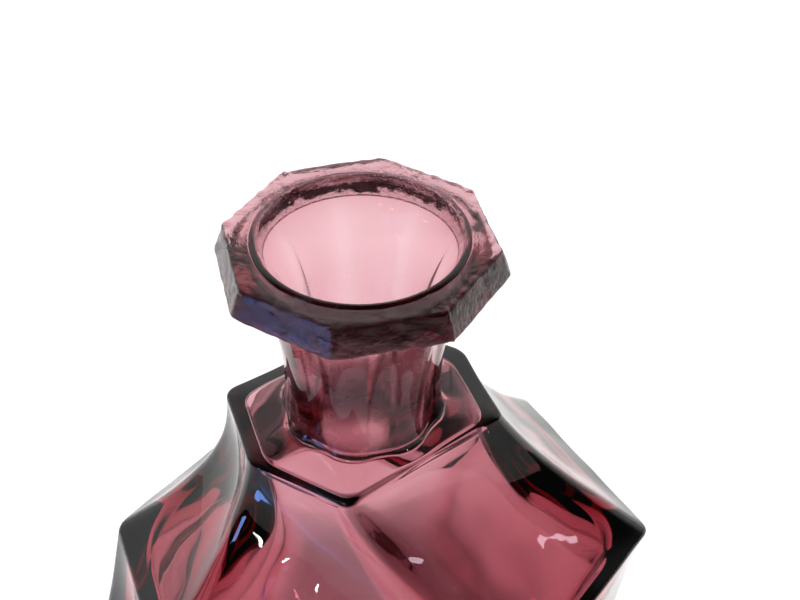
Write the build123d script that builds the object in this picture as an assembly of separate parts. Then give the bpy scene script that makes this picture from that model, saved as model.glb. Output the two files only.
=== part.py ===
from build123d import *
import math
import os

# An amethyst glass bottle with an octagonal lip and neck on a faceted, six-cornered body.
# Millimetres, +Z up. The origin is on the base, at the middle of the body's outline.
# The broad front face looks along -Y, and the corner D points along +X.

# ---- Driving dimensions -------------------------------------------------------------
LIP_RADIUS = 19.0            # centre to corner of the octagonal lip at its top face
HEIGHT = 182.4               # base to the lip's top face
NECK_OFFSET = -0.7           # the hand-finished neck stands this far off the body's middle
OCTAGON_TURN = -8.1          # degrees from +X to the first corner of the lip and neck

LIP_FLARE = 1.084            # the lip's bottom face is this much larger than its top face
LIP_HEIGHT = 4.0
LIP_EDGE = 0.5               # rounding of the lip's outer edges
TUBE_RADIUS = 14.9           # outside of the round tube end that the lip is gathered on
BEAD_RISE = 0.3              # the fire-polished tube end stands this proud of the lip

MOUTH_RADIUS = 13.9          # bore at the mouth
MOUTH_DEPTH = 1.5            # length of the straight bore below the mouth
THROAT_RADIUS = 7.8          # bore of the neck
THROAT_DROP = 20.0           # depth below the lip's top face where the funnel ends

DECK_DROP = 31.4             # lip's top face down to the rim of the deck
DECK_RISE = 1.6              # the deck climbs this much from its rim to the neck
DECK_SHRINK = 0.56           # size of the deck's top outline against its rim
BELT_DROP = 58.9             # lip's top face down to the belt, the corner line of the body
HIP_DROP = 82.0              # lip's top face down to the widest line
HIP_GROWTH = 1.10            # size of the widest line against EVEN_OUTLINE
HIP_TWIST = 14.0             # degrees that the corners swing on between belt and widest line
BASE_SHRINK = 0.80           # size of the base outline against EVEN_OUTLINE

WALL = 4.2                   # glass thickness at the middle of a panel
DECK_WALL = 0.45             # thickness at the deck against WALL
DECK_WALL_FADE = 0.6         # share of the shoulder over which it grows to WALL
CEILING_DROP = 0.9           # depth of the cavity below the outside, against the wall there
FLOOR_WALL = 6.0             # glass thickness of the sides where they meet the base
FLOOR = 11.0                 # glass thickness of the base at the cavity's edge
PUSH_UP = 5.0                # height of the hollow under the base
PUSH_UP_RADIUS = 17.0        # radius of the hollow's rim on the base

# Outline of the neck: depth below the lip's top face and centre-to-corner radius,
# both against LIP_RADIUS.
NECK_OUTLINE = [
    (0.212, 1.00),
    (0.25, 0.93),
    (0.30, 0.866),
    (0.36, 0.822),
    (0.50, 0.763),
    (0.80, 0.688),
    (1.10, 0.645),
    (1.40, 0.629),
    (1.52, 0.639),
    (1.66, 0.680),
]

# The six crests of the shoulder, in order round the body. Each has its corner on the
# deck's rim (radius against LIP_RADIUS and degrees, about the neck), its corner on the
# belt (X and Y against LIP_RADIUS, about the body) and how hollow its curve is.
CRESTS = {
    "A": ((1.04, 217.5), (-1.60, -1.42), 1.60),
    "E": ((1.06, 265.0), (1.22, -1.60), 1.30),
    "D": ((1.08, 355.0), (2.37, 0.00), 1.20),
    "C": ((1.03, 39.0), (1.42, 1.58), 1.40),
    "F": ((1.00, 85.0), (-0.88, 1.60), 1.45),
    "B": ((1.10, 172.0), (-2.13, 0.00), 2.20),
}
# Below the belt the outline evens out: every corner has its like across the middle.
EVEN_OUTLINE = [
    (-1.35, -1.45),
    (1.10, -1.60),
    (2.25, 0.00),
    (1.35, 1.45),
    (-1.10, 1.60),
    (-2.25, 0.00),
]
SHOULDER_STEPS = 6           # sections between the deck's rim and the belt
CORNER_SHARE = 0.22          # rounding of the cavity's corners against its section size
PANEL_REACH = 0.84           # middle of a panel against its corners, from the section's middle


def crest_point(name, share):
    """Plan position of a crest, at a share of the way down from the deck to the belt."""
    (deck_radius, deck_angle), (belt_x, belt_y), hollow = CRESTS[name]
    turn = math.radians(deck_angle)
    deck_x = NECK_OFFSET + LIP_RADIUS * deck_radius * math.cos(turn)
    deck_y = LIP_RADIUS * deck_radius * math.sin(turn)
    out = share ** hollow
    x = deck_x + (LIP_RADIUS * belt_x - deck_x) * out
    y = deck_y + (LIP_RADIUS * belt_y - deck_y) * out
    return (x, y)


def shoulder_outline(share):
    return [crest_point(name, share) for name in CRESTS]


def scaled(points, scale, turn=0.0, about=(0.0, 0.0)):
    """Outline scaled and turned in plan about a point."""
    c = scale * math.cos(math.radians(turn))
    s = scale * math.sin(math.radians(turn))
    moved = []
    for x, y in points:
        dx = x - about[0]
        dy = y - about[1]
        moved.append((about[0] + c * dx - s * dy, about[1] + s * dx + c * dy))
    return moved


def section(points, z, corner=0.0):
    """Flat face on an outline at height z, with its corners rounded."""
    face = make_face(Polyline(*[(x, y, 0) for x, y in points], close=True))
    if corner > 0:
        face = fillet(face.vertices(), corner)
    return Pos(0, 0, z) * face


def octagon(radius, z):
    return Pos(NECK_OFFSET, 0, z) * RegularPolygon(radius, 8, rotation=OCTAGON_TURN)


def lower_outline(scale):
    """Outline below the belt: evened out, swung round and scaled."""
    return scaled([(LIP_RADIUS * x, LIP_RADIUS * y) for x, y in EVEN_OUTLINE], scale, HIP_TWIST)


def below_lip(drop):
    return HEIGHT - drop


def levels():
    """Shares of the shoulder's height at which its sections are drawn."""
    return [step / SHOULDER_STEPS for step in range(SHOULDER_STEPS + 1)]


def shoulder_height(share):
    return below_lip(DECK_DROP + (BELT_DROP - DECK_DROP) * share)


def neck_solid():
    rings = [octagon(r * LIP_RADIUS, below_lip(d * LIP_RADIUS)) for d, r in NECK_OUTLINE]
    flared = loft(rings)
    tube_top = HEIGHT + BEAD_RISE
    tube_low = below_lip(LIP_HEIGHT) - 1.0
    tube = Pos(NECK_OFFSET, 0, (tube_top + tube_low) / 2) * Cylinder(TUBE_RADIUS, tube_top - tube_low)
    return flared + tube


def deck_solid():
    rim = shoulder_outline(0)
    top = scaled(rim, DECK_SHRINK, about=(NECK_OFFSET, 0))
    z = shoulder_height(0)
    return loft([section(rim, z), section(top, z + DECK_RISE)], ruled=True)


def shoulder_solid():
    return loft([section(shoulder_outline(s), shoulder_height(s)) for s in levels()])


def lower_solid():
    """The body from the belt, through its widest line, to the base."""
    return loft([
        section(shoulder_outline(1), below_lip(BELT_DROP)),
        section(lower_outline(HIP_GROWTH), below_lip(HIP_DROP)),
        section(lower_outline(BASE_SHRINK), 0),
    ], ruled=True)


def inset(points, wall):
    """Outline drawn in towards its own middle by a wall's thickness."""
    cx = sum(x for x, _ in points) / len(points)
    cy = sum(y for _, y in points) / len(points)
    reach = sum(math.hypot(x - cx, y - cy) for x, y in points) / len(points)
    return scaled(points, 1 - wall / (PANEL_REACH * reach), about=(cx, cy)), reach


def cavity_section(points, z, wall):
    drawn, reach = inset(points, wall)
    return section(drawn, z, CORNER_SHARE * (reach - wall))


def shoulder_wall(share):
    """Wall at a share of the way down the shoulder: thin at the deck, where the glass was blown out most."""
    grown = min(share / DECK_WALL_FADE, 1)
    return WALL * (DECK_WALL + (1 - DECK_WALL) * grown * grown * (3 - 2 * grown))


def cavity_solid():
    shoulder = []
    for share in levels():
        wall = shoulder_wall(share)
        height = shoulder_height(share) - CEILING_DROP * wall
        shoulder.append(cavity_section(shoulder_outline(share), height, wall))
    drop_share = (below_lip(HIP_DROP) - FLOOR) / below_lip(HIP_DROP)
    floor_scale = HIP_GROWTH + (BASE_SHRINK - HIP_GROWTH) * drop_share
    lower = loft([
        cavity_section(shoulder_outline(1), below_lip(BELT_DROP) - CEILING_DROP * WALL, WALL),
        cavity_section(lower_outline(HIP_GROWTH), below_lip(HIP_DROP), WALL),
        cavity_section(lower_outline(floor_scale), FLOOR, FLOOR_WALL),
    ], ruled=True)
    return loft(shoulder) + lower


def mouth_and_throat():
    """Straight mouth, funnel and neck bore as one turned shape."""
    top = HEIGHT + BEAD_RISE + 1.0
    mouth_low = HEIGHT + BEAD_RISE - MOUTH_DEPTH
    throat_top = below_lip(THROAT_DROP)
    bottom = shoulder_height(0) - 2 * WALL
    with BuildPart() as turned:
        with BuildSketch(Plane.XZ):
            with BuildLine():
                Polyline((0, bottom), (THROAT_RADIUS, bottom), (THROAT_RADIUS, throat_top))
                Spline(
                    (THROAT_RADIUS, throat_top),
                    (MOUTH_RADIUS, mouth_low),
                    tangents=[(0, 1), (0.45, 1)],
                )
                Polyline((MOUTH_RADIUS, mouth_low), (MOUTH_RADIUS, top), (0, top), (0, bottom))
            make_face()
        revolve(axis=Axis.Z)
    return Pos(NECK_OFFSET, 0, 0) * turned.part


def push_up_solid():
    """Cap of a large ball that hollows the underside."""
    ball = (PUSH_UP_RADIUS ** 2 + PUSH_UP ** 2) / (2 * PUSH_UP)
    return Pos(0, 0, PUSH_UP - ball) * Sphere(ball)


def bottle_body():
    glass = lower_solid() + shoulder_solid() + deck_solid() + neck_solid()
    glass = glass - cavity_solid() - mouth_and_throat() - push_up_solid()
    return glass


def lip_collar():
    """Octagonal ring of glass gathered round the end of the neck."""
    low = octagon(LIP_RADIUS * LIP_FLARE, below_lip(LIP_HEIGHT))
    high = octagon(LIP_RADIUS, HEIGHT)
    block = loft([low, high], ruled=True)
    block = fillet(block.edges(), LIP_EDGE)
    hole = Pos(NECK_OFFSET, 0, HEIGHT) * Cylinder(TUBE_RADIUS, 4 * LIP_HEIGHT)
    return block - hole


os.makedirs("parts", exist_ok=True)
for node, make in (("bottle_body", bottle_body), ("lip_collar", lip_collar)):
    shape = make()
    shape.label = node
    export_step(shape, "parts/" + node + ".step")
    print(node, "solids", len(shape.solids()), "volume", round(shape.volume / 1000, 1), "ml")
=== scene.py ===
"""Mould-blown amethyst glass bottle with an octagonal lip: a sidebar add-on.

The bottle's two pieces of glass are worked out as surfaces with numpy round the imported
CAD frame. Lengths inside the shape functions are millimetres; the meshes are metres.
"""

import math

import bpy
import numpy as np
from bpy.props import FloatProperty, FloatVectorProperty, PointerProperty, StringProperty
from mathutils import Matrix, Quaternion, Vector


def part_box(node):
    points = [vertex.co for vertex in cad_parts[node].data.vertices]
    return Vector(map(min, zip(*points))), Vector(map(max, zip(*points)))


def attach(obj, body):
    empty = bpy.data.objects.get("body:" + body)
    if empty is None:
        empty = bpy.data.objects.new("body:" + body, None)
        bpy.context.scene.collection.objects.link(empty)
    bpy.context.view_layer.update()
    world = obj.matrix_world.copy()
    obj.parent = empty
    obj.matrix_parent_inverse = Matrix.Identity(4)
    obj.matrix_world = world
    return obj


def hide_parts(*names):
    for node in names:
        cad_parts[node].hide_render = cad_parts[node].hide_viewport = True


bl_info = {
    "name": "Amethyst Glass Bottle",
    "version": (1, 0, 0),
    "blender": (4, 5, 0),
    "location": "3D View > Sidebar > Glass Bottle",
    "description": "Builds a faceted amethyst glass bottle with an octagonal lip",
    "category": "Add Mesh",
}

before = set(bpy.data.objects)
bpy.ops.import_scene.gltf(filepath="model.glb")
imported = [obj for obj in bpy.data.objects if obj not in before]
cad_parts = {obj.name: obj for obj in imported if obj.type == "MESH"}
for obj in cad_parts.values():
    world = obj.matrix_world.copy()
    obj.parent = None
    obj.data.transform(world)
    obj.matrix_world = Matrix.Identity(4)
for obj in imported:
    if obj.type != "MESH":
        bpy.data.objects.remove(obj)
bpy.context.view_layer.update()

MM = 0.001
LIP_LOW, LIP_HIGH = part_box("lip_collar")
BODY_LOW, BODY_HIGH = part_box("bottle_body")
NECK_X = (LIP_LOW.x + LIP_HIGH.x) / 2
NECK_Y = (LIP_LOW.y + LIP_HIGH.y) / 2

# The eight columns of the surface follow the octagonal neck's corners. Six of them run
# on as the body's crests; the other two cross the middle of its two longest panels.
OCTAGON_ANGLES = np.array([216.9, 261.9, 306.9, 351.9, 36.9, 81.9, 126.9, 171.9])
SEAM_COLUMNS = (2, 6)


# Plan of the body against the lip's radius. Rim corners are about the neck (radius and
# degrees), belt and lower corners are about the body (X and Y). The hollows are the
# powers that Form.shoulder bends the crests by.
RIM_CORNERS = np.array([
    (1.04, 217.5), (1.06, 265.0), (1.08, 355.0), (1.03, 39.0), (1.00, 85.0), (1.10, 172.0),
])
BELT_CORNERS = np.array([
    (-1.60, -1.42), (1.22, -1.60), (2.37, 0.00), (1.42, 1.58), (-0.88, 1.60), (-2.13, 0.00),
])
EVEN_CORNERS = np.array([
    (-1.35, -1.45), (1.10, -1.60), (2.25, 0.00), (1.35, 1.45), (-1.10, 1.60), (-2.25, 0.00),
])
CREST_HOLLOWS = np.array([1.60, 1.30, 1.20, 1.40, 1.45, 2.20])

RIM_DROP = 31.4              # lip's top down to the deck's rim, the belt and the widest line
BELT_DROP = 58.9
HIP_DROP = 82.0
HIP_TWIST = 14.0             # degrees that the corners swing on below the belt
HIP_SCALE = 1.10             # widest line against the even outline
BASE_SCALE = 0.80            # base outline against the even outline
PUSH_UP = 5.0                # height and rim radius of the hollow under the base
PUSH_UP_RADIUS = 17.0
FLOOR = 11.0                 # glass under the cavity, and at the sides where they meet it
FLOOR_WALL = 6.0
FLOOR_RISE = 1.5             # the cavity's floor climbs this much to its middle
FLOOR_RADIUS = 12.0          # and starts to climb at this radius
NECK_START = 0.212           # lip's top down to the neck's top, in lip radii
NECK_LENGTH = 1.388          # neck's top down to its foot, in lip radii
MOUTH_DEPTH = 0.3            # straight bore below the bead
THROAT_DROP = 20.0           # where the funnel ends, below the lip's top
FUNNEL_CURVE = 1.8           # power of the funnel's curve; 1 would be a straight cone
PANEL_REACH = 0.84           # middle of a panel against its corners, from the middle
DECK_WALL = 0.50             # thickness at the deck against the wall lower down
DECK_WALL_FADE = 0.6         # share of the shoulder over which it grows to that wall
CEILING_DROP = 0.9           # depth of the cavity below the outside, against the wall there
BORE_FOOT = 0.9              # bore where it opens into the cavity, against the throat
CAVITY_ROUNDING = 0.22       # reach of the cavity's rounded corners against its radius
LIP_EDGE = 0.9               # rounding of the lip's corners
ROUND = 9.0                  # rounding that takes an octagon's corners off altogether
JOINT_GAP = 0.05             # the lip's hole is this much narrower than the tube that fills it
SEAM_HEIGHT = 0.20           # ridge left by the parting of the lip's mould
SEAM_WIDTH = 0.22
BEND_STEPS = 9               # columns round each corner, and across each flat
FLAT_STEPS = 19


class GlassBottleSizes(bpy.types.PropertyGroup):
    """Sizes of the bottle."""

    lip_radius: FloatProperty(
        name="Lip Radius", description="Centre to corner of the lip's top face",
        default=0.019, unit="LENGTH", subtype="DISTANCE")
    lip_flare: FloatProperty(
        name="Lip Flare", description="Size of the lip's bottom face against its top face",
        default=1.084, subtype="FACTOR")
    tube_radius: FloatProperty(
        name="Tube Radius", description="Outside of the round tube end inside the lip",
        default=0.0149, unit="LENGTH", subtype="DISTANCE")
    mouth_radius: FloatProperty(
        name="Mouth Radius", description="Bore at the mouth",
        default=0.0139, unit="LENGTH", subtype="DISTANCE")
    throat_radius: FloatProperty(
        name="Throat Radius", description="Bore of the neck",
        default=0.0078, unit="LENGTH", subtype="DISTANCE")
    wall: FloatProperty(
        name="Wall", description="Glass thickness at the middle of a panel",
        default=0.0042, unit="LENGTH", subtype="DISTANCE")
    crest_rounding: FloatProperty(
        name="Crest Rounding", description="How far the rounding of a crest reaches into its panels",
        default=0.0016, unit="LENGTH", subtype="DISTANCE")
    panel_hollow: FloatProperty(
        name="Panel Hollow", description="Depth to which the shoulder's panels sink between their crests",
        default=0.0011, unit="LENGTH", subtype="DISTANCE")


class GlassBottleFinish(bpy.types.PropertyGroup):
    """Colours and surface of the glass."""

    passed_hex: StringProperty(
        name="Glass Colour", description="Colour that the glass lets through, as an sRGB hex value",
        default="#CE396A")
    absorption: FloatProperty(
        name="Absorption", description="Strength of the glass colour per metre of glass",
        default=225.0)
    glass_ior: FloatProperty(
        name="Refractive Index", description="Refractive index of the glass",
        default=1.51)
    body_roughness: FloatProperty(
        name="Body Roughness", description="Roughness of the fire-polished glass",
        default=0.015, subtype="FACTOR")
    bore_cloud: FloatProperty(
        name="Bore Cloud", description="Roughness that old residue adds inside the neck",
        default=0.50, subtype="FACTOR")
    lip_roughness: FloatProperty(
        name="Lip Roughness", description="Roughness of the chilled skin of the lip",
        default=0.10, subtype="FACTOR")
    wave_depth: FloatProperty(
        name="Wave Depth", description="Depth of the waves that the mould left in the body",
        default=0.00006, unit="LENGTH", subtype="DISTANCE")
    pebble_depth: FloatProperty(
        name="Pebble Depth", description="Depth of the fine pebbling on the lip",
        default=0.00005, unit="LENGTH", subtype="DISTANCE")


class GlassBottleStage(bpy.types.PropertyGroup):
    """Camera, floor and light."""

    camera_offset: FloatVectorProperty(
        name="Camera Offset", description="Camera from the middle of the lip's top, in lip radii",
        default=(0.281, -7.738, 5.989))
    camera_drop: FloatProperty(
        name="Camera Drop", description="Angle at which the camera looks down, in radians",
        default=math.radians(40.32), subtype="ANGLE")
    camera_roll: FloatProperty(
        name="Camera Roll", description="Turn of the camera about its line of sight, in radians",
        default=math.radians(0.51), subtype="ANGLE")
    camera_lens: FloatProperty(
        name="Lens", description="Focal length in millimetres on a 36 mm sensor",
        default=62.67)
    floor_size: FloatProperty(
        name="Floor Size", description="Side of the floor",
        default=6.0, unit="LENGTH", subtype="DISTANCE")
    floor_hex: StringProperty(
        name="Floor Colour", description="Floor paper as an sRGB hex value",
        default="#FAF9F7")
    # Painted shade: the floor's glow in front of the bottle, against its glow behind it.
    painted_front_shade: FloatProperty(
        name="Front Glow", description="Glow of the floor in front of the bottle against that behind it",
        default=0.22)
    # Painted shadow: the floor's glow in a shadow painted just behind the bottle's foot.
    painted_shadow_glow: FloatProperty(
        name="Shadow Glow", description="Glow of the floor in the bottle's shadow",
        default=0.25)
    sky_bright: FloatProperty(
        name="Bright Sky", description="Strength of the light low behind the bottle",
        default=1.1)
    sky_dark: FloatProperty(
        name="Dark Sky", description="Strength of the light overhead and in front",
        default=0.04)


def srgb_to_linear(hex_colour):
    """sRGB hex value as linear red, green, blue and alpha."""
    channels = [int(hex_colour[i:i + 2], 16) / 255 for i in (1, 3, 5)]
    linear = [c / 12.92 if c <= 0.04045 else ((c + 0.055) / 1.055) ** 2.4 for c in channels]
    return (*linear, 1.0)


# ---- Surfaces -----------------------------------------------------------------------


def waves(points, shortest, longest, count, seed):
    """Smooth uneven field of about unit height: a sum of plane sine waves.

    Each wave has its own direction and phase, and a length between the shortest and the
    longest; their heights grow with their lengths.
    """
    draws = np.random.default_rng(seed)
    direction = draws.normal(size=(count, 3))
    direction /= np.linalg.norm(direction, axis=1, keepdims=True)
    length = np.exp(draws.uniform(math.log(shortest), math.log(longest), count))
    phase = draws.uniform(0, 2 * math.pi, count)
    height = length / longest
    height /= math.sqrt(0.5 * np.sum(height ** 2))
    field = np.zeros(points.shape[:-1])
    for wave in range(count):
        angle = points @ direction[wave] * (2 * math.pi / length[wave]) + phase[wave]
        field += height[wave] * np.sin(angle)
    return field


def ease(x):
    """Smooth step: 0 below 0, 1 above 1, and 3x^2 - 2x^3 between."""
    x = np.clip(x, 0.0, 1.0)
    return x * x * (3 - 2 * x)


def along(stations, values, s):
    """Values of any shape, given at stations along a path, at each place s by straight steps."""
    upper = np.clip(np.searchsorted(stations, s, side="right"), 1, len(stations) - 1)
    low, high = stations[upper - 1], stations[upper]
    share = np.clip((s - low) / (high - low), 0, 1)
    share = share.reshape(share.shape + (1,) * (values.ndim - 1))
    return values[upper - 1] * (1 - share) + values[upper] * share


def softened(stations, values, s, reach):
    """Values at each place s, averaged over a hill-shaped window, which rounds every kink."""
    taps = np.linspace(-1, 1, 11)
    weights = np.cos(taps * math.pi / 2) ** 2 + 1e-3
    weights /= weights.sum()
    total = 0.0
    for tap, weight in zip(taps, weights):
        total = total + weight * along(stations, values, s + tap * reach)
    return total


def rows_for(length, kinks, coarse, fine, reach):
    """Places along a path: coarse steps, with fine ones near each kink."""
    places = [np.linspace(0, length, int(length / coarse) + 2)]
    for kink in kinks:
        places.append(np.linspace(kink - reach, kink + reach, int(2 * reach / fine) + 1))
    merged = np.sort(np.concatenate(places))
    merged = merged[(merged >= 0) & (merged <= length)]
    keep = np.concatenate([[True], np.diff(merged) > 0.45 * fine])
    keep[-1] = True
    return merged[keep]


def panel_hills():
    """How far along its sag each column lies: 4g(1 - g), g being the share of its panel.

    Returns the hills of the body's six panels and of the neck's eight, as arrays of
    columns by steps. The two seam columns stand at the middle of a body panel.
    """
    start = np.zeros(8)
    end = np.ones(8)
    for seam in SEAM_COLUMNS:
        start[seam] = 0.5
        end[seam - 1] = 0.5
    flat = np.linspace(0, 1, FLAT_STEPS)
    panel = start[:, None] + (end - start)[:, None] * flat
    six = np.hstack([np.repeat(start[:, None], BEND_STEPS, 1), panel])
    eight = np.hstack([np.zeros((8, BEND_STEPS)), np.tile(flat, (8, 1))])
    return 4 * six * (1 - six), 4 * eight * (1 - eight)


def rounded_rings(corners, rounding, circle, six_sag, eight_sag):
    """Closed rings round a stack of eight-cornered outlines.

    Each corner is a quadratic Bezier curve between the points at the rounding's distance
    from it, and a flat joins its end to the next corner's start. The flats sink inwards
    by their panel's hill. Last, circle blends the ring towards the true circle that the
    flats touch.
    """
    edge = np.roll(corners, -1, axis=1) - corners
    length = np.maximum(np.linalg.norm(edge, axis=2, keepdims=True), 1e-6)
    unit = edge / length
    back = np.roll(unit, 1, axis=1)
    reach = np.minimum(rounding[:, None, None], 0.499 * np.minimum(length, np.roll(length, 1, axis=1)))
    start = (corners - back * reach)[:, :, None]
    end = (corners + unit * reach)[:, :, None]
    next_start = np.roll(start, -1, axis=1)
    middle = corners[:, :, None]
    t = ((np.arange(BEND_STEPS) + 0.5) / BEND_STEPS)[None, None, :, None]
    bend = (1 - t) ** 2 * start + 2 * t * (1 - t) * middle + t ** 2 * end
    f = np.linspace(0, 1, FLAT_STEPS)[None, None, :, None]
    ring = np.concatenate([bend, end * (1 - f) + next_start * f], axis=2)
    inward = np.stack([-unit[..., 1], unit[..., 0], 0 * unit[..., 0]], -1)
    six_hill, eight_hill = panel_hills()
    sink = six_sag[:, None, None] * six_hill + eight_sag[:, None, None] * eight_hill
    ring = ring + inward[:, :, None] * sink[..., None]
    centre = corners[..., :2].mean(axis=1)[:, None, None]
    flat_middle = corners + edge / 2
    radius = np.linalg.norm(flat_middle[..., :2] - centre[:, 0], axis=2).mean(axis=1)[:, None, None, None]
    arm = ring[..., :2] - centre
    on_circle = centre + arm * radius / np.maximum(np.linalg.norm(arm, axis=-1, keepdims=True), 1e-6)
    k = circle[:, None, None, None]
    ring[..., :2] = ring[..., :2] * (1 - k) + on_circle * k
    return ring.reshape(len(corners), -1, 3)


def grid_normals(points, closed_rows=False):
    """Unit normals of a grid: the cross product of its steps round and along."""
    around = np.roll(points, -1, axis=1) - np.roll(points, 1, axis=1)
    if closed_rows:
        onward = np.roll(points, -1, axis=0) - np.roll(points, 1, axis=0)
    else:
        onward = np.gradient(points, axis=0)
    normal = np.cross(around, onward)
    return normal / np.maximum(np.linalg.norm(normal, axis=2, keepdims=True), 1e-12)


def grid_quads(rows, columns, closed_rows=False):
    """Quads of a grid whose columns close on themselves, and whose rows may too."""
    r = np.arange(rows if closed_rows else rows - 1)[:, None]
    c = np.arange(columns)[None, :]
    right = (c + 1) % columns
    up = (r + 1) % rows
    quads = np.stack([r * columns + c, r * columns + right, up * columns + right, up * columns + c], -1)
    return quads.reshape(-1, 4)


def mesh_object(name, points, faces):
    """Object with a smooth-shaded mesh from points in millimetres and lists of faces."""
    mesh = bpy.data.meshes.new(name)
    mesh.from_pydata((points * MM).tolist(), [], faces)
    mesh.polygons.foreach_set("use_smooth", np.ones(len(mesh.polygons), dtype=bool))
    mesh.update()
    if mesh.validate(verbose=False):
        raise RuntimeError(name + " has faces that aren't valid")
    piece = bpy.data.objects.new(name, mesh)
    bpy.context.scene.collection.objects.link(piece)
    return piece


class Path:
    """Outlines strung along a path, which a grid of rings is drawn through."""

    def __init__(self):
        self.corners = []
        self.facts = []
        self.kink_rows = []

    def add(self, corners, rounding, circle=0.0, six_sag=0.0, eight_sag=0.0, wave=0.0, kink=True):
        """Adds outlines of shape (n, 8, 3), each fact being one number or one for each."""
        if kink:
            self.kink_rows.append(sum(len(c) for c in self.corners))
        self.corners.append(corners)
        facts = (rounding, circle, six_sag, eight_sag, wave)
        self.facts.append(np.stack([np.broadcast_to(fact, len(corners)) for fact in facts], 1))

    def rings(self, coarse, fine, near, soften, closed=False):
        """Rings along the path and each row's wave, with fine rows near the kinks."""
        corners = np.concatenate(self.corners)
        facts = np.concatenate(self.facts)
        if closed:
            corners = np.concatenate([corners, corners[:1]])
            facts = np.concatenate([facts, facts[:1]])
        step = np.linalg.norm(np.diff(corners, axis=0), axis=2).mean(axis=1)
        s = np.concatenate([[0], np.cumsum(np.maximum(step, 1e-4))])
        length = s[-1]
        kinks = [s[row] for row in self.kink_rows]
        if closed:
            kinks.append(length)
            corners = np.concatenate([corners[:-1], corners[:-1], corners])
            facts = np.concatenate([facts[:-1], facts[:-1], facts])
            s = np.concatenate([s[:-1] - length, s[:-1], s + length])
        places = rows_for(length, kinks, coarse, fine, near)
        if closed:
            places = places[:-1]
        corners = softened(s, corners, places, soften)
        facts = softened(s, facts, places, soften)
        return rounded_rings(corners, *facts.T[:4]), facts[:, 4]


def octagons(radius, z, centre=(0.0, 0.0)):
    """Stack of octagons with corners at OCTAGON_ANGLES, for arrays of radius and height."""
    radius, z = np.broadcast_arrays(np.atleast_1d(radius).astype(float), np.atleast_1d(z).astype(float))
    turn = np.radians(OCTAGON_ANGLES)
    x = centre[0] + radius[:, None] * np.cos(turn)
    y = centre[1] + radius[:, None] * np.sin(turn)
    return np.stack([x, y, np.repeat(z[:, None], 8, 1)], -1)


def discs(radius, z, centre=(0.0, 0.0)):
    """Octagons whose sides touch a circle of that radius."""
    return octagons(np.atleast_1d(radius) / math.cos(math.pi / 8), z, centre)


def six_to_eight(six, z):
    """Outlines of six corners, shape (n, 6, 2), with the middles of the two long panels put in."""
    front = (six[:, 1] + six[:, 2]) / 2
    rear = (six[:, 4] + six[:, 5]) / 2
    plan = np.stack([six[:, 0], six[:, 1], front, six[:, 2], six[:, 3], six[:, 4], rear, six[:, 5]], 1)
    height = np.repeat(np.atleast_1d(z).astype(float)[:, None, None], 8, 1)
    return np.concatenate([plan, height], 2)


def turned(plan, degrees):
    """Plan points turned about the body's middle."""
    c, s = math.cos(math.radians(degrees)), math.sin(math.radians(degrees))
    return plan @ np.array([[c, s], [-s, c]])


class Form:
    """The bottle's shape in millimetres, worked out from its sizes and the frame."""

    def __init__(self, sizes):
        self.lip = sizes.lip_radius / MM
        self.flare = sizes.lip_flare
        self.tube = sizes.tube_radius / MM
        self.mouth = sizes.mouth_radius / MM
        self.throat = sizes.throat_radius / MM
        self.wall = sizes.wall / MM
        self.crest = sizes.crest_rounding / MM
        self.hollow = sizes.panel_hollow / MM
        self.neck = (NECK_X / MM, NECK_Y / MM)
        self.lip_top = LIP_HIGH.z / MM
        self.lip_low = LIP_LOW.z / MM
        self.bead_top = BODY_HIGH.z / MM
        self.rim_z = self.lip_top - RIM_DROP
        self.belt_z = self.lip_top - BELT_DROP
        self.hip_z = self.lip_top - HIP_DROP

    def shoulder(self, share):
        """Six corners at shares of the way down from the deck's rim to the belt.

        Each crest runs straight in plan, and goes out as the share to the power of its
        hollow, so it is steep below the deck and lies flatter towards the belt.
        """
        turn = np.radians(RIM_CORNERS[:, 1])
        arm = RIM_CORNERS[:, 0] * self.lip
        rim = np.stack([self.neck[0] + arm * np.cos(turn), self.neck[1] + arm * np.sin(turn)], 1)
        out = share[:, None, None] ** CREST_HOLLOWS[None, :, None]
        return rim + (BELT_CORNERS * self.lip - rim) * out

    def shoulder_z(self, share):
        return self.rim_z + (self.belt_z - self.rim_z) * share

    def even(self, scale):
        return turned(EVEN_CORNERS * self.lip * scale, HIP_TWIST)[None]

    def inset(self, six, wall):
        """Outlines drawn in towards their middles by a wall's thickness."""
        middle = six.mean(axis=1, keepdims=True)
        reach = np.linalg.norm(six - middle, axis=2).mean(axis=1)
        return middle + (six - middle) * (1 - wall / (PANEL_REACH * reach))[:, None, None], reach

    def neck_radius(self, drop):
        """Centre to corner of the neck, at a drop below the lip's top.

        A waist, plus a trumpet and a cove under the lip that die away going down, plus a
        foot that dies away going up.
        """
        below = drop / self.lip - NECK_START
        trumpet = 0.30 * np.exp(-below / 0.52)
        cove = 0.14 * np.exp(-below / 0.075)
        foot = 0.06 * np.exp(-(NECK_LENGTH - below) / 0.12)
        waist = 0.585
        return self.lip * (waist + trumpet + cove + foot)


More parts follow.
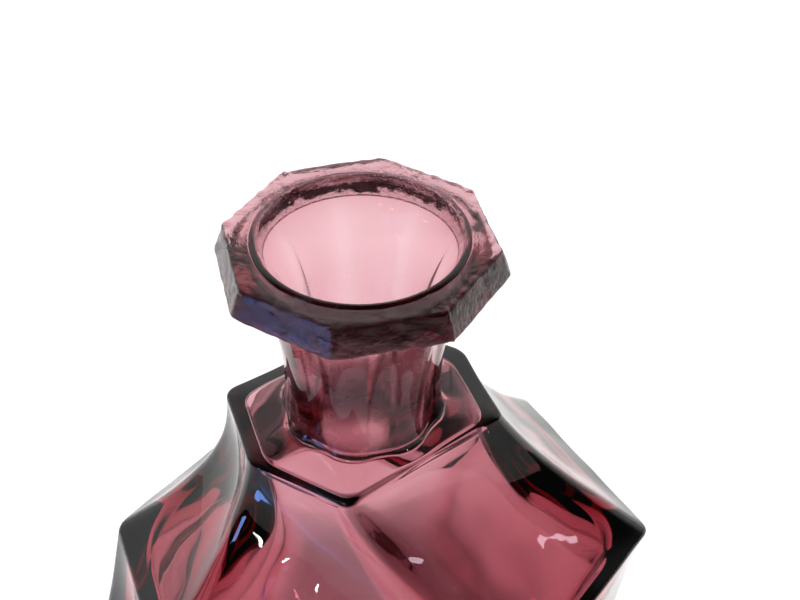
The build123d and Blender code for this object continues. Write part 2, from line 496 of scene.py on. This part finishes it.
def body_path(form):
    """Skin of the body from the middle of its underside, up and over the bead, and down inside."""
    path = Path()
    ball = (PUSH_UP_RADIUS ** 2 + PUSH_UP ** 2) / (2 * PUSH_UP)
    radius = np.linspace(0.05, PUSH_UP_RADIUS, 14)
    path.add(discs(radius, PUSH_UP - ball + np.sqrt(ball ** 2 - radius ** 2)), ROUND, circle=1.0, kink=False)
    path.add(discs(PUSH_UP_RADIUS + 1.5, 0.0), ROUND, circle=1.0)
    path.add(six_to_eight(form.even(BASE_SCALE), 0.0), 4.0)
    path.add(six_to_eight(form.even(HIP_SCALE), form.hip_z), 2.0 * form.crest, wave=1.0)
    share = np.linspace(1, 0, 28)
    shoulder = six_to_eight(form.shoulder(share), form.shoulder_z(share))
    sag = form.hollow * np.sin(math.pi * share)
    path.add(shoulder, form.crest, six_sag=sag, wave=1.0)
    path.kink_rows.append(path.kink_rows[-1] + len(share) - 1)
    below = NECK_LENGTH * np.linspace(1, 0, 34) ** 1.5
    drop = (NECK_START + below) * form.lip
    neck = octagons(form.neck_radius(drop), form.lip_top - drop, form.neck)
    rounding = 2.2 + 3.0 * np.exp(-below / 0.5)
    path.add(neck, rounding, eight_sag=0.2, wave=0.6)
    low = form.lip_low + 0.04
    path.add(discs([form.tube, form.tube], [low, low + 0.5], form.neck), ROUND, circle=1.0)
    high = form.lip_top - 0.6
    path.add(discs([form.tube, form.tube], [high, form.bead_top], form.neck), ROUND, circle=1.0)
    path.kink_rows.append(path.kink_rows[-1] + 1)
    path.add(discs(form.mouth, form.bead_top, form.neck), ROUND, circle=1.0)
    path.add(discs(form.mouth, form.bead_top - MOUTH_DEPTH, form.neck), ROUND, circle=1.0)
    t = np.linspace(0, 1, 18)
    funnel = form.throat + (form.mouth - form.throat) * (1 - t) ** FUNNEL_CURVE
    z = form.bead_top - MOUTH_DEPTH + (form.lip_top - THROAT_DROP - form.bead_top + MOUTH_DEPTH) * t
    path.add(discs(funnel, z, form.neck), ROUND, circle=1.0, wave=0.4 * t)
    share = np.linspace(0, 1, 28)
    wall = form.wall * (DECK_WALL + (1 - DECK_WALL) * ease(share / DECK_WALL_FADE))
    inner, reach = form.inset(form.shoulder(share), wall)
    z = form.shoulder_z(share) - CEILING_DROP * wall
    path.add(discs(form.throat * BORE_FOOT, z[0], form.neck), ROUND, circle=1.0)
    path.add(six_to_eight(inner, z), CAVITY_ROUNDING * reach * ease(0.5 + share), wave=0.8)
    inner, reach = form.inset(form.even(HIP_SCALE), form.wall)
    path.add(six_to_eight(inner, form.hip_z), CAVITY_ROUNDING * reach, wave=0.8)
    climb = FLOOR / form.hip_z
    inner, reach = form.inset(form.even(BASE_SCALE + (HIP_SCALE - BASE_SCALE) * climb), FLOOR_WALL)
    path.add(six_to_eight(inner, FLOOR), CAVITY_ROUNDING * reach, wave=1.0)
    radius = np.linspace(FLOOR_RADIUS, 0.05, 8)
    path.add(discs(radius, FLOOR + FLOOR_RISE * (1 - radius / FLOOR_RADIUS)), ROUND, circle=1.0, kink=False)
    return path


def closed_ends(points, rows, columns):
    """Faces that close the first and the last ring of a grid to a point each."""
    first, last = points[:columns].mean(axis=0), points[-columns:].mean(axis=0)
    count = rows * columns
    ring = np.arange(columns)
    onward = (ring + 1) % columns
    lower = np.stack([onward, ring, np.full(columns, count)], 1)
    top = (rows - 1) * columns
    upper = np.stack([top + ring, top + onward, np.full(columns, count + 1)], 1)
    return np.vstack([points, first, last]), np.vstack([lower, upper])


def body_mesh(form, wave_depth):
    """The closed skin of the body, with the mould's waves pressed along its normals."""
    rings, wave = body_path(form).rings(coarse=1.2, fine=0.3, near=2.1, soften=0.9)
    rows, columns = rings.shape[:2]
    swell = waves(rings, 6.0, 22.0, 30, seed=7)
    rings = rings + grid_normals(rings) * (swell * wave[:, None] * wave_depth)[..., None]
    points, caps = closed_ends(rings.reshape(-1, 3), rows, columns)
    faces = grid_quads(rows, columns).tolist() + caps.tolist()
    return mesh_object("bottle_glass", points, faces)


def collar_path(form):
    """Section of the lip: under it, up its flared side, over its top and down its hole."""
    path = Path()
    hole = form.tube - JOINT_GAP
    low, high = form.lip_low, form.lip_top
    path.add(discs(hole, low, form.neck), ROUND, circle=1.0)
    path.add(octagons(form.lip * form.flare, low, form.neck), LIP_EDGE, wave=0.6)
    path.add(octagons(form.lip, high, form.neck), LIP_EDGE, wave=1.0)
    path.add(discs(hole, high, form.neck), ROUND, circle=1.0, wave=0.3)
    return path


def collar_mesh(form, pebble_depth):
    """The closed ring of the lip, pebbled, with the ridge of its mould seam."""
    rings, wave = collar_path(form).rings(coarse=0.34, fine=0.17, near=0.7, soften=0.55, closed=True)
    rows, columns = rings.shape[:2]
    centre = np.array([*form.neck, 0.0])
    arm = rings - centre
    seam_turn = np.radians(OCTAGON_ANGLES[SEAM_COLUMNS[0]])
    across = arm[..., 1] * math.cos(seam_turn) - arm[..., 0] * math.sin(seam_turn)
    fine = waves(rings, 0.8, 2.6, 40, seed=21)
    broad = waves(rings, 3.0, 9.0, 12, seed=22)
    pebbles = fine + 0.5 * broad
    ridge = SEAM_HEIGHT * np.exp(-(across / SEAM_WIDTH) ** 2)
    push = pebbles * pebble_depth * wave[:, None] + ridge * ease(wave / 0.5)[:, None]
    rings = rings + grid_normals(rings, closed_rows=True) * push[..., None]
    faces = grid_quads(rows, columns, closed_rows=True).tolist()
    return mesh_object("lip_glass", rings.reshape(-1, 3), faces)


# ---- Materials ----------------------------------------------------------------------

# Pairs of places, in metres, between which the residue in the bore sets in: out from the
# neck's axis, and down from the lip's underside at the foot and at the top.
CLOUD_SIDE = (0.0104, 0.0100)
CLOUD_FOOT = (0.032, 0.026)
CLOUD_TOP = (0.002, 0.010)
CLOUD_SCALE = 260.0          # patches about 4 mm wide

# Grain of the lip's chilled skin: scale in 1/m, depth in metres and detail of each noise.
LIP_GRAIN = ((1500.0, 0.00012, 2.0), (4200.0, 0.00005, 2.0))

# Where the floor's painted glow rises out of painted shade to its full strength, in metres:
# from front to back, and outwards from a painted shadow round a place behind the bottle's foot.
PAINTED_FRONT_SHADE_FADE = (-0.03, 0.075)
PAINTED_SHADOW_FADE = (0.03, 0.075)
PAINTED_SHADOW_PLACE = (0.0, 0.045, 0.0)
PAPER_ROUGHNESS = 0.9
WHITE = (1.0, 1.0, 1.0, 1.0)


def add_node(tree, kind, links=(), **settings):
    """Adds a node; a setting named after an input sets it, others are its own properties."""
    node = tree.nodes.new(kind)
    for name, value in settings.items():
        if hasattr(node, name):
            setattr(node, name, value)
        else:
            node.inputs[name.replace("_", " ")].default_value = value
    for target, source in links:
        tree.links.new(source, node.inputs[target])
    return node


def clouded_bore(tree, place, clear, finish):
    """Roughness that rises, in patches, where old residue clouds the bore of the neck."""
    apart = add_node(tree, "ShaderNodeVectorMath", [(0, place)], operation="SUBTRACT")
    apart.inputs[1].default_value = (NECK_X, NECK_Y, 0.0)
    flat = add_node(tree, "ShaderNodeVectorMath", [(0, apart.outputs[0])], operation="MULTIPLY")
    flat.inputs[1].default_value = (1.0, 1.0, 0.0)
    arm = add_node(tree, "ShaderNodeVectorMath", [(0, flat.outputs[0])], operation="LENGTH")
    radius = arm.outputs["Value"]
    height = add_node(tree, "ShaderNodeSeparateXYZ", [("Vector", place)]).outputs["Z"]
    inside = fade(tree, radius, *CLOUD_SIDE)
    above = fade(tree, height, *(LIP_LOW.z - depth for depth in CLOUD_FOOT))
    below = fade(tree, height, *(LIP_LOW.z - depth for depth in CLOUD_TOP))
    patches = add_node(tree, "ShaderNodeTexNoise", [("Vector", place)], Scale=CLOUD_SCALE, Detail=3.0)
    mask = patches.outputs["Fac"]
    for part in (inside, above, below):
        mask = add_node(tree, "ShaderNodeMath", [(0, mask), (1, part)], operation="MULTIPLY").outputs[0]
    rough = add_node(tree, "ShaderNodeMath", [(0, mask)], operation="MULTIPLY_ADD")
    rough.inputs[1].default_value = finish.bore_cloud
    rough.inputs[2].default_value = clear
    return rough.outputs[0]


def fade(tree, value, dark_at, bright_at, dark=0.0):
    """Smooth step of a socket's value, from dark at the one place to 1 at the other."""
    ramp = add_node(tree, "ShaderNodeMapRange", [("Value", value)], interpolation_type="SMOOTHSTEP")
    for name, number in (("From Min", dark_at), ("From Max", bright_at), ("To Min", dark)):
        ramp.inputs[name].default_value = number
    return ramp.outputs["Result"]


def amethyst_glass(name, finish, roughness, bumps=(), clouded=False):
    """Mould-blown amethyst glass: manganese colours it, so it darkens with its thickness.

    bumps are (scale in 1/m, depth in metres, detail) of fine relief too small for the mesh.
    """
    material = bpy.data.materials.new(name)
    material.use_nodes = True
    tree = material.node_tree
    tree.nodes.clear()
    place = add_node(tree, "ShaderNodeTexCoord").outputs["Object"]
    normal = None
    for scale, depth, detail in bumps:
        noise = add_node(tree, "ShaderNodeTexNoise", [("Vector", place)], Scale=scale, Detail=detail)
        links = [("Height", noise.outputs["Fac"])]
        if normal is not None:
            links.append(("Normal", normal))
        normal = add_node(tree, "ShaderNodeBump", links, Strength=1.0, Distance=depth).outputs["Normal"]
    links = [("Normal", normal)] if bumps else []
    if clouded:
        links.append(("Roughness", clouded_bore(tree, place, roughness, finish)))
    shader = add_node(
        tree, "ShaderNodeBsdfPrincipled", links,
        Base_Color=WHITE, Roughness=roughness, IOR=finish.glass_ior, Transmission_Weight=1.0)
    depth = add_node(
        tree, "ShaderNodeVolumeAbsorption",
        Color=srgb_to_linear(finish.passed_hex), Density=finish.absorption)
    add_node(
        tree, "ShaderNodeOutputMaterial",
        [("Surface", shader.outputs["BSDF"]), ("Volume", depth.outputs["Volume"])])
    return material


def paper(name, colour, painted_front_shade, painted_shadow_glow):
    """Matte white paper that gives the camera one plain white.

    To all other rays it glows with painted light, dimmer in front of the bottle (painted
    shade) and just behind its foot (a painted shadow of the bottle).
    """
    material = bpy.data.materials.new(name)
    material.use_nodes = True
    shader = material.node_tree.nodes["Principled BSDF"]
    shader.inputs["Base Color"].default_value = srgb_to_linear(colour)
    shader.inputs["Roughness"].default_value = PAPER_ROUGHNESS
    shader.inputs["Emission Color"].default_value = srgb_to_linear(colour)
    tree = material.node_tree
    place = add_node(tree, "ShaderNodeTexCoord").outputs["Object"]
    back = add_node(tree, "ShaderNodeSeparateXYZ", [("Vector", place)]).outputs["Y"]
    away = add_node(tree, "ShaderNodeVectorMath", [(0, place)], operation="SUBTRACT")
    away.inputs[1].default_value = PAINTED_SHADOW_PLACE
    distance = add_node(tree, "ShaderNodeVectorMath", [(0, away.outputs[0])], operation="LENGTH")
    # Painted shade in front of the bottle and a painted shadow behind its foot dim the glow.
    front = fade(tree, back, *PAINTED_FRONT_SHADE_FADE, dark=painted_front_shade)
    painted_shadow = fade(tree, distance.outputs["Value"], *PAINTED_SHADOW_FADE, dark=painted_shadow_glow)
    strength = add_node(tree, "ShaderNodeMath", [(0, front), (1, painted_shadow)], operation="MULTIPLY")
    # The camera sees plain white; all other rays see the painted glow and its painted shade.
    seen = add_node(tree, "ShaderNodeLightPath").outputs["Is Camera Ray"]
    plain = add_node(tree, "ShaderNodeMath", [(0, strength.outputs[0]), (1, seen)], operation="MAXIMUM")
    tree.links.new(plain.outputs[0], shader.inputs["Emission Strength"])
    return material


# ---- Operators ----------------------------------------------------------------------

FLOOR_DROP = 0.05            # millimetres between the base and the floor
MOST_BOUNCES = 32            # light crosses many walls of glass before it leaves the bottle

# Pairs of slopes, as parts of a unit direction, between which the sky grows bright: from
# front to back and from overhead down in reflections, and downwards through the glass.
SKY_BEHIND = (-0.10, 0.45)
SKY_LOW = (0.95, 0.60)
SKY_THROUGH = (0.30, 0.05)

# Softboxes: name, place, width and height in metres, watts, colour, and roll in degrees.
SOFTBOXES = (
    ("low_window", (-0.246, -0.299, 0.042), 0.070, 0.050, 0.16, "#6F9DFF", 0.0),
    ("window", (-0.50, -0.36, 0.20), 0.15, 0.10, 0.55, "#86ABFF", 0.0),
    ("tube", (-0.221, -0.580, 0.170), 0.004, 0.034, 0.025, "#FFFFFF", -37.0),
    ("far_window", (0.42, -0.39, 0.24), 0.006, 0.015, 0.012, "#FFFFFF", 0.0),
    ("right_lamp", (0.51, -0.06, 0.27), 0.014, 0.014, 0.005, "#FFE6F4", 0.0),
    ("side_lamp", (-0.42, -0.16, 0.84), 0.07, 0.07, 0.4, "#E4EEFF", 0.0),
    ("ceiling_lamp", (-0.20, -0.275, 1.15), 0.10, 0.10, 2.0, "#FFFFFF", 0.0),
)


class GLASSBOTTLE_OT_body(bpy.types.Operator):
    """Build the body of the bottle in one piece of glass"""

    bl_idname = "glass_bottle.body"
    bl_label = "Body"

    def execute(self, context):
        finish = context.scene.glass_bottle_finish
        piece = body_mesh(Form(context.scene.glass_bottle_sizes), finish.wave_depth / MM)
        piece.data.materials.append(amethyst_glass(
            "mould_blown_amethyst_glass", finish, finish.body_roughness, clouded=True))
        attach(piece, "root")
        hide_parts("bottle_body")
        return {"FINISHED"}


class GLASSBOTTLE_OT_lip(bpy.types.Operator):
    """Build the octagonal lip gathered round the end of the neck"""

    bl_idname = "glass_bottle.lip"
    bl_label = "Lip"

    def execute(self, context):
        finish = context.scene.glass_bottle_finish
        piece = collar_mesh(Form(context.scene.glass_bottle_sizes), finish.pebble_depth / MM)
        piece.data.materials.append(amethyst_glass(
            "chilled_amethyst_glass", finish, finish.lip_roughness, bumps=LIP_GRAIN))
        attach(piece, "root")
        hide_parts("lip_collar")
        return {"FINISHED"}


class GLASSBOTTLE_OT_stage(bpy.types.Operator):
    """Set the floor, the light and the camera"""

    bl_idname = "glass_bottle.stage"
    bl_label = "Stage"

    def execute(self, context):
        stage = context.scene.glass_bottle_stage
        self.make_floor(stage)
        self.make_lights(context, stage)
        self.make_camera(context, stage)
        context.scene.view_settings.view_transform = "Standard"
        context.scene.cycles.max_bounces = MOST_BOUNCES
        context.scene.cycles.transmission_bounces = MOST_BOUNCES
        return {"FINISHED"}

    def make_floor(self, stage):
        half = stage.floor_size / 2 / MM
        signs = np.array([(-1, -1), (1, -1), (1, 1), (-1, 1)])
        corners = np.column_stack([half * signs, np.full(len(signs), -FLOOR_DROP)])
        floor = mesh_object("floor", corners, [[0, 1, 2, 3]])
        # The floor paper glows with painted light, dimmed by painted shade in front and a painted shadow by
        # the foot.
        floor.data.materials.append(paper(
            "white_paper_with_painted_glow", stage.floor_hex, stage.painted_front_shade, stage.painted_shadow_glow))

    def make_lights(self, context, stage):
        world = bpy.data.worlds.new("studio")
        context.scene.world = world
        world.use_nodes = True
        tree = world.node_tree
        tree.nodes.clear()
        way = add_node(tree, "ShaderNodeTexCoord").outputs["Generated"]
        split = add_node(tree, "ShaderNodeSeparateXYZ", [("Vector", way)])
        behind = fade(tree, split.outputs["Y"], *SKY_BEHIND)
        low = fade(tree, split.outputs["Z"], *SKY_LOW)
        sheen = add_node(tree, "ShaderNodeMath", [(0, behind), (1, low)], operation="MULTIPLY")
        through = fade(tree, split.outputs["Z"], *SKY_THROUGH)
        ways = add_node(tree, "ShaderNodeLightPath").outputs
        bright = add_node(tree, "ShaderNodeMix", [("Factor", ways["Is Transmission Ray"])], data_type="FLOAT")
        tree.links.new(sheen.outputs[0], bright.inputs["A"])
        tree.links.new(through, bright.inputs["B"])
        level = add_node(tree, "ShaderNodeMath", [(0, bright.outputs["Result"])], operation="MULTIPLY_ADD")
        level.inputs[1].default_value = stage.sky_bright - stage.sky_dark
        level.inputs[2].default_value = stage.sky_dark
        glow = add_node(tree, "ShaderNodeBackground", [("Strength", level.outputs[0])])
        plain = add_node(tree, "ShaderNodeBackground", Color=WHITE, Strength=1.0)
        both = add_node(tree, "ShaderNodeMixShader",
                        [("Fac", ways["Is Camera Ray"]), (1, glow.outputs[0]), (2, plain.outputs[0])])
        add_node(tree, "ShaderNodeOutputWorld", [("Surface", both.outputs[0])])
        for settings in SOFTBOXES:
            self.softbox(context, *settings)

    def softbox(self, context, name, place, width, height, watts, colour, roll):
        """Area light aimed at the middle of the bottle."""
        light = bpy.data.lights.new(name, "AREA")
        light.shape = "RECTANGLE"
        light.size, light.size_y = width, height
        light.energy = watts
        light.color = srgb_to_linear(colour)[:3]
        lamp = bpy.data.objects.new(name, light)
        lamp.location = place
        aim = Vector((NECK_X, 0.0, BODY_HIGH.z / 2)) - Vector(place)
        lamp.rotation_mode = "QUATERNION"
        lamp.rotation_quaternion = aim.to_track_quat("-Z", "Y") @ Quaternion((0, 0, 1), math.radians(roll))
        lamp.visible_camera = False
        context.scene.collection.objects.link(lamp)

    def make_camera(self, context, stage):
        data = bpy.data.cameras.new("camera")
        data.lens = stage.camera_lens
        data.sensor_width = 36.0
        data.clip_start = 0.01
        data.clip_end = 50.0
        camera = bpy.data.objects.new("camera", data)
        lip = context.scene.glass_bottle_sizes.lip_radius
        camera.location = Vector((NECK_X, NECK_Y, LIP_HIGH.z)) + Vector(stage.camera_offset) * lip
        level = Quaternion((1, 0, 0), math.pi / 2 - stage.camera_drop)
        camera.rotation_mode = "QUATERNION"
        camera.rotation_quaternion = level @ Quaternion((0, 0, 1), stage.camera_roll)
        context.scene.collection.objects.link(camera)
        context.scene.camera = camera


class GLASSBOTTLE_PT_panel(bpy.types.Panel):
    """Sidebar panel with the bottle's settings and operators"""

    bl_idname = "GLASSBOTTLE_PT_panel"
    bl_label = "Glass Bottle"
    bl_space_type = "VIEW_3D"
    bl_region_type = "UI"
    bl_category = "Glass Bottle"

    def draw(self, context):
        for group in (context.scene.glass_bottle_sizes, context.scene.glass_bottle_finish,
                      context.scene.glass_bottle_stage):
            box = self.layout.box()
            for name in group.__annotations__:
                box.prop(group, name)
        for operator in OPERATORS:
            self.layout.operator(operator.bl_idname)


OPERATORS = (GLASSBOTTLE_OT_body, GLASSBOTTLE_OT_lip, GLASSBOTTLE_OT_stage)
GROUPS = {
    "glass_bottle_sizes": GlassBottleSizes,
    "glass_bottle_finish": GlassBottleFinish,
    "glass_bottle_stage": GlassBottleStage,
}


def register():
    for item in (*GROUPS.values(), *OPERATORS, GLASSBOTTLE_PT_panel):
        bpy.utils.register_class(item)
    for name, group in GROUPS.items():
        setattr(bpy.types.Scene, name, PointerProperty(type=group))


def unregister():
    for name in GROUPS:
        delattr(bpy.types.Scene, name)
    for item in (GLASSBOTTLE_PT_panel, *OPERATORS, *GROUPS.values()):
        bpy.utils.unregister_class(item)


def main():
    register()
    bpy.ops.glass_bottle.body()
    bpy.ops.glass_bottle.lip()
    bpy.ops.glass_bottle.stage()


if __name__ == "__main__":
    main()
